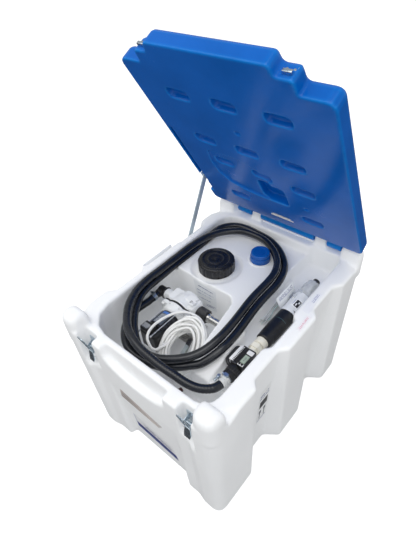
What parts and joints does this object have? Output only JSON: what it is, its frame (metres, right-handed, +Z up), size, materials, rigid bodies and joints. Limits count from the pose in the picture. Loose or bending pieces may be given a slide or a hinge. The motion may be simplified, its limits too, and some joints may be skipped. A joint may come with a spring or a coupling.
{
  "type": "portable fluid tank with pump locker",
  "caption": "Moulded portable fluid tank with a locker for its electric pump, hose, meter and nozzle under a hinged, propped and latched lid.",
  "frame": {"origin": "middle of the flat underside of the tank, on the ground", "axes": "+Z up, -Y to the front with the two latches, +X to the right hand side with the nozzle trough"},
  "size_m": [0.606, 0.8165, 1.2669],
  "materials": {
    "tank_white": "translucent natural polyethylene, satin",
    "lid_blue": "moulded blue polyethylene",
    "zinc": "bright zinc plate",
    "steel": "stainless",
    "cap_black": "moulded",
    "cap_blue": "moulded",
    "rubber_black": "matt",
    "pump_white": "moulded",
    "motor_black": "satin",
    "plastic_black": "moulded",
    "switch_red": "moulded",
    "hose_black": "satin",
    "lens_grey": "display window",
    "button_grey": "matt",
    "adapter_cream": "moulded",
    "nozzle_black": "moulded",
    "cable_white": "satin",
    "clip_red": "moulded",
    "pouch_clear": "clear film"
  },
  "bodies": {
    "tank": {"adapter_inlet": "adapter_cream", "adapter_swivel": "adapter_cream", "bracket_screw_1": "steel", "bracket_screw_2": "steel", "bracket_screw_3": "steel", "bracket_screw_4": "steel", "clip_black_jaw_fixed": "plastic_black", "clip_red_jaw_fixed": "clip_red", "document_pouch": "pouch_clear", "foot_strainer": "steel", "hinge_pin": "steel", "hose": "hose_black", "hose_clamp_meter": "steel", "hose_clamp_pump": "steel", "inlet_coupler": "steel", "inlet_nut": "plastic_black", "latch_left_base": "zinc", "latch_left_screw_1": "steel", "latch_left_screw_2": "steel", "latch_right_base": "zinc", "latch_right_screw_1": "steel", "latch_right_screw_2": "steel", "meter_body": "plastic_black", "meter_lens": "lens_grey", "meter_nut": "plastic_black", "motor_end_box": "plastic_black", "motor_housing": "motor_black", "nozzle_body": "nozzle_black", "outlet_elbow": "plastic_black", "power_cable": "cable_white", "pump_bracket": "steel", "pump_cover": "pump_white", "pump_head": "pump_white", "pump_seal_band": "rubber_black", "spout_pipe": "steel", "stay_rest": "zinc", "suction_pipe": "plastic_black", "tank_body": "tank_white"},
    "lid": {"lid": "lid_blue", "lid_catch_left": "zinc", "lid_catch_right": "zinc", "stay_lug": "zinc"},
    "stay": {"stay_bar": "zinc"},
    "latch_left_lever": {"latch_left_lever": "zinc"},
    "latch_left_bail": {"latch_left_bail": "steel"},
    "latch_right_lever": {"latch_right_lever": "zinc"},
    "latch_right_bail": {"latch_right_bail": "steel"},
    "fill_cap": {"fill_cap": "cap_black", "fill_gasket": "rubber_black"},
    "vent_cap": {"vent_cap": "cap_blue", "vent_valve": "rubber_black"},
    "rotor": {"motor_rotor": "steel", "pump_rotor": "steel"},
    "rocker_switch": {"rocker_switch": "switch_red"},
    "meter_button_left": {"meter_button_left": "button_grey"},
    "meter_button_right": {"meter_button_right": "button_grey"},
    "nozzle_trigger": {"nozzle_trigger": "steel"},
    "clip_black_jaw": {"clip_black_jaw": "plastic_black"},
    "clip_red_jaw": {"clip_red_jaw": "clip_red"}
  },
  "joints": [
    {"name": "lid_hinge", "type": "hinge", "parent": "tank", "child": "lid", "pos_m": [0, 0.402, 0.571], "axis": [1, 0, 0], "range_deg": [0, 60]},
    {"name": "stay_pivot", "type": "hinge", "parent": "lid", "child": "stay", "pos_m": [-0.288, 0.28888, 0.72393], "axis": [1, 0, 0], "range_deg": [-122.64, 0]},
    {"name": "latch_left_lever_hinge", "type": "hinge", "parent": "tank", "child": "latch_left_lever", "pos_m": [-0.2, -0.371, 0.472], "axis": [-1, 0, 0], "range_deg": [0, 110]},
    {"name": "latch_left_bail_hinge", "type": "hinge", "parent": "latch_left_lever", "child": "latch_left_bail", "pos_m": [-0.2, -0.3785, 0.462], "axis": [-1, 0, 0], "range_deg": [-110.5, 0]},
    {"name": "latch_right_lever_hinge", "type": "hinge", "parent": "tank", "child": "latch_right_lever", "pos_m": [0.2, -0.371, 0.472], "axis": [-1, 0, 0], "range_deg": [0, 110]},
    {"name": "latch_right_bail_hinge", "type": "hinge", "parent": "latch_right_lever", "child": "latch_right_bail", "pos_m": [0.2, -0.3785, 0.462], "axis": [-1, 0, 0], "range_deg": [-110.5, 0]},
    {"name": "fill_cap_turn", "type": "hinge", "parent": "tank", "child": "fill_cap", "pos_m": [-0.11, 0.12, 0.52], "axis": [0, 0, 1], "range_deg": [0, 360]},
    {"name": "vent_cap_turn", "type": "hinge", "parent": "tank", "child": "vent_cap", "pos_m": [-0.006, 0.238, 0.52], "axis": [0, 0, 1], "range_deg": [0, 270]},
    {"name": "rotor_spin", "type": "hinge", "parent": "tank", "child": "rotor", "pos_m": [-0.108, -0.055, 0.432], "axis": [0, 1, 0], "continuous": true},
    {"name": "rocker_rock", "type": "hinge", "parent": "tank", "child": "rocker_switch", "pos_m": [-0.125, -0.2153, 0.478], "axis": [1, 0, 0], "range_deg": [-6, 6]},
    {"name": "trigger_pull", "type": "hinge", "parent": "tank", "child": "nozzle_trigger", "pos_m": [0.206, 0.06, 0.464], "axis": [-1, 0, 0], "range_deg": [0, 12]},
    {"name": "meter_button_left_press", "type": "slide", "parent": "tank", "child": "meter_button_left", "axis": [0, 0, -1], "range_m": [0, 0.0015]},
    {"name": "meter_button_right_press", "type": "slide", "parent": "tank", "child": "meter_button_right", "axis": [0, 0, -1], "range_m": [0, 0.0015]},
    {"name": "clip_black_open", "type": "hinge", "parent": "tank", "child": "clip_black_jaw", "pos_m": [0.017, -0.184, 0.452], "axis": [0.9397, 0.342, 0], "range_deg": [0, 12]},
    {"name": "clip_red_open", "type": "hinge", "parent": "tank", "child": "clip_red_jaw", "pos_m": [0.04, -0.285, 0.338], "axis": [0.9659, -0.2588, 0], "range_deg": [0, 12]}
  ],
  "couplings": [
    {"joint": "stay_pivot", "follows": "lid_hinge", "ratio": -2.0406},
    {"joint": "latch_left_bail_hinge", "follows": "latch_left_lever_hinge", "ratio": -1},
    {"joint": "latch_right_bail_hinge", "follows": "latch_right_lever_hinge", "ratio": -1}
  ]
}
